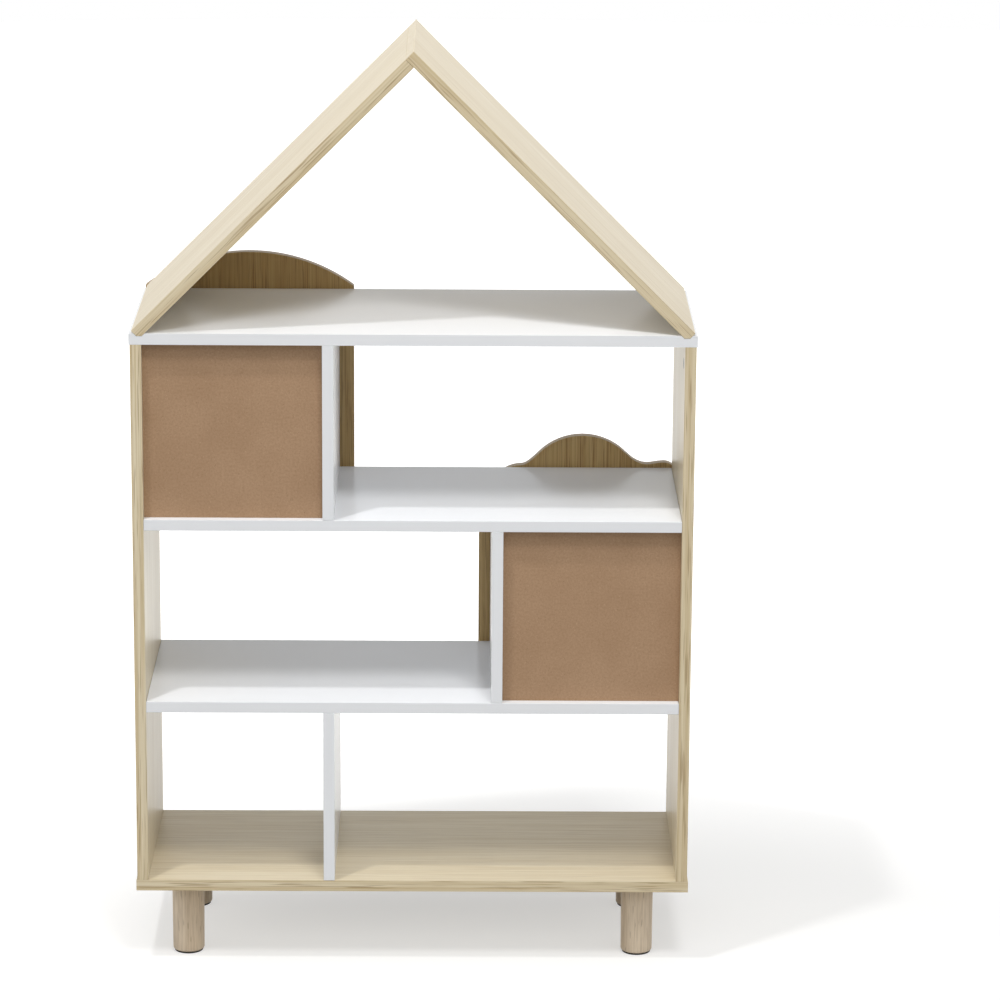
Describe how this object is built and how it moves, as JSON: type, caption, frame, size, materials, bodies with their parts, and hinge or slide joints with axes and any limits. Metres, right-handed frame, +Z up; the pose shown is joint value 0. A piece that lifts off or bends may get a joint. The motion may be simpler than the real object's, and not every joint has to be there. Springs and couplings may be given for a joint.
{
  "type": "children's house bookcase",
  "caption": "House-shaped children's bookcase with a gable roof, open compartments, an arched door and a cloud-topped door, on round wooden legs.",
  "frame": {"origin": "centre of the bounding box on the floor, under the legs", "axes": "+Z up to the ridge of the roof; +X to the right of a person who faces the doors; -Y is the side with the doors"},
  "size_m": [0.759, 0.343, 1.253],
  "materials": {
    "white_board": "smooth white board, semi-gloss",
    "oak_board": "pale oak grain, satin",
    "back_panel": "raw brown fibreboard, matt",
    "leg_wood": "turned pale wood, satin lacquer",
    "pad": "dark, matt",
    "steel": "zinc-plated, satin",
    "zinc": "cast zinc, dull",
    "catch_plastic": "off-white, matt"
  },
  "bodies": {
    "case": {"top_board": "white_board", "bottom_board": "oak_board", "left_side_panel": "oak_board", "right_side_panel": "oak_board", "lower_shelf": "white_board", "upper_shelf": "white_board", "bottom_divider": "white_board", "middle_divider": "white_board", "top_divider": "white_board", "left_roof_board": "oak_board", "right_roof_board": "oak_board", "upper_back_panel": "back_panel", "lower_back_panel": "back_panel", "front_left_leg": "leg_wood", "front_right_leg": "leg_wood", "back_left_leg": "leg_wood", "back_right_leg": "leg_wood", "front_left_leg_pad": "pad", "front_right_leg_pad": "pad", "back_left_leg_pad": "pad", "back_right_leg_pad": "pad", "front_left_leg_bolt": "steel", "front_right_leg_bolt": "steel", "back_left_leg_bolt": "steel", "back_right_leg_bolt": "steel", "front_left_base_screw": "steel", "front_right_base_screw": "steel", "back_left_base_screw": "steel", "back_right_base_screw": "steel", "front_left_cam": "zinc", "front_right_cam": "zinc", "back_left_cam": "zinc", "back_right_cam": "zinc", "front_left_cam_bolt": "steel", "front_right_cam_bolt": "steel", "back_left_cam_bolt": "steel", "back_right_cam_bolt": "steel", "upper_magnet_catch": "catch_plastic", "lower_magnet_catch": "catch_plastic", "upper_door_lower_hinge_case_leaf": "steel", "upper_door_upper_hinge_case_leaf": "steel", "lower_door_lower_hinge_case_leaf": "steel", "lower_door_upper_hinge_case_leaf": "steel", "upper_door_lower_hinge_pin": "steel", "upper_door_upper_hinge_pin": "steel", "lower_door_lower_hinge_pin": "steel", "lower_door_upper_hinge_pin": "steel"},
    "upper_door": {"upper_door": "oak_board", "upper_door_knob": "leg_wood", "upper_door_knob_screw": "steel", "upper_door_strike_plate": "steel", "upper_door_lower_hinge_door_leaf": "steel", "upper_door_upper_hinge_door_leaf": "steel"},
    "lower_door": {"lower_door": "oak_board", "lower_door_knob": "leg_wood", "lower_door_knob_screw": "steel", "lower_door_strike_plate": "steel", "lower_door_lower_hinge_door_leaf": "steel", "lower_door_upper_hinge_door_leaf": "steel"}
  },
  "joints": [
    {"name": "upper_door_hinge", "type": "hinge", "parent": "case", "child": "upper_door", "pos_m": [0.3765, -0.13, 0.744], "axis": [0, 0, 1], "range_deg": [0, 110]},
    {"name": "lower_door_hinge", "type": "hinge", "parent": "case", "child": "lower_door", "pos_m": [-0.3765, -0.13, 0.491], "axis": [0, 0, -1], "range_deg": [0, 110]}
  ]
}
